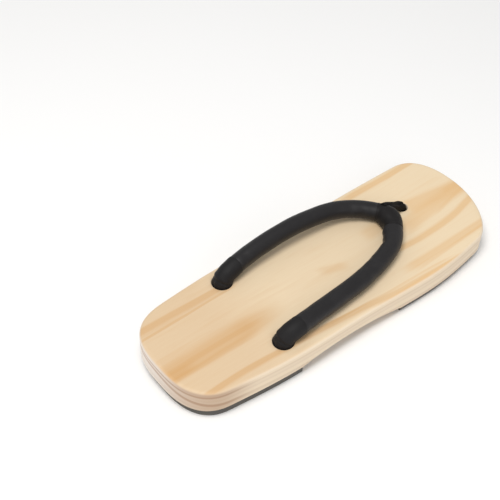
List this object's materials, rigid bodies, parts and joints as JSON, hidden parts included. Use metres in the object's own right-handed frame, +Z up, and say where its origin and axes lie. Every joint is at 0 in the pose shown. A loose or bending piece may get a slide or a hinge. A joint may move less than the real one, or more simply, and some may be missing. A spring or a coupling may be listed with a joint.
{
  "type": "flat geta sandal",
  "caption": "Flat wooden geta for the right foot: a rounded pale board on a heel pad and a fore pad of rubber, with a padded black cloth strap tied at the toe.",
  "frame": {"origin": "on the floor, in the middle of the sandal's outline", "axes": "+X to the toe, +Y to the inner side of the right foot, +Z up"},
  "size_m": [0.262, 0.0924, 0.0381],
  "materials": {
    "wood": "sanded pale softwood with soft tan grain, uncoated",
    "pad_rubber": "matt dark grey rubber",
    "strap_cloth": "smooth black cloth over padding, faint sheen",
    "tie_cloth": "black cloth, folded flat",
    "cord": "dark twisted cotton cord"
  },
  "bodies": {
    "root": {"board": "wood", "heel_pad": "pad_rubber", "fore_pad": "pad_rubber", "strap": "strap_cloth", "toe_tie": "tie_cloth", "inner_knot": "cord", "outer_knot": "cord", "front_knot": "cord"}
  },
  "joints": []
}
